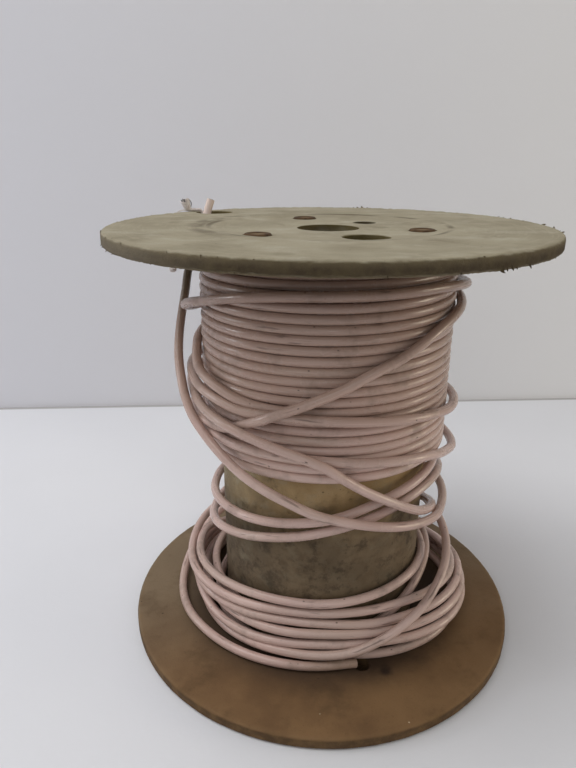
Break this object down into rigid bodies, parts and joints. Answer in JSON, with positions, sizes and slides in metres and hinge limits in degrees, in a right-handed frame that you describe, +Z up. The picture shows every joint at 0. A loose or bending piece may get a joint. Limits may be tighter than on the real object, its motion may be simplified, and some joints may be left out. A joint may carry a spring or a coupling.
{
  "type": "spool of electrical wire",
  "caption": "Round hardboard spool on end, part-used, with tightly wound and loose pinkish insulated wire on a fibre barrel between its flanges.",
  "frame": {"origin": "centre of the lower flange's underside", "axes": "+Z up the spool's axis, -Y towards the front of the picture"},
  "size_m": [0.2032, 0.2032, 0.216],
  "materials": {
    "lower_board": "worn brown hardboard, smooth and dull",
    "upper_board": "dusty olive-beige hardboard with frayed edges",
    "fibre_tube": "mottled olive-brown fibre tube, matt",
    "rusty_steel": "rusted plain steel",
    "vinyl": "pinkish-beige semi-gloss vinyl insulation with scuffs and dirt"
  },
  "bodies": {
    "root": {"lower_flange": "lower_board", "upper_flange": "upper_board", "barrel": "fibre_tube", "tie_bolt_1": "rusty_steel", "tie_bolt_2": "rusty_steel", "tie_bolt_3": "rusty_steel", "nut_1": "rusty_steel", "nut_2": "rusty_steel", "nut_3": "rusty_steel", "wire_winding": "vinyl", "wire_heap": "vinyl", "heap_loop": "vinyl", "slack_low": "vinyl", "slack_mid": "vinyl", "slack_top": "vinyl", "wire_tail": "vinyl", "wire_cross": "vinyl", "wire_drop": "vinyl", "wire_riser": "vinyl", "wire_end": "vinyl"}
  },
  "joints": []
}
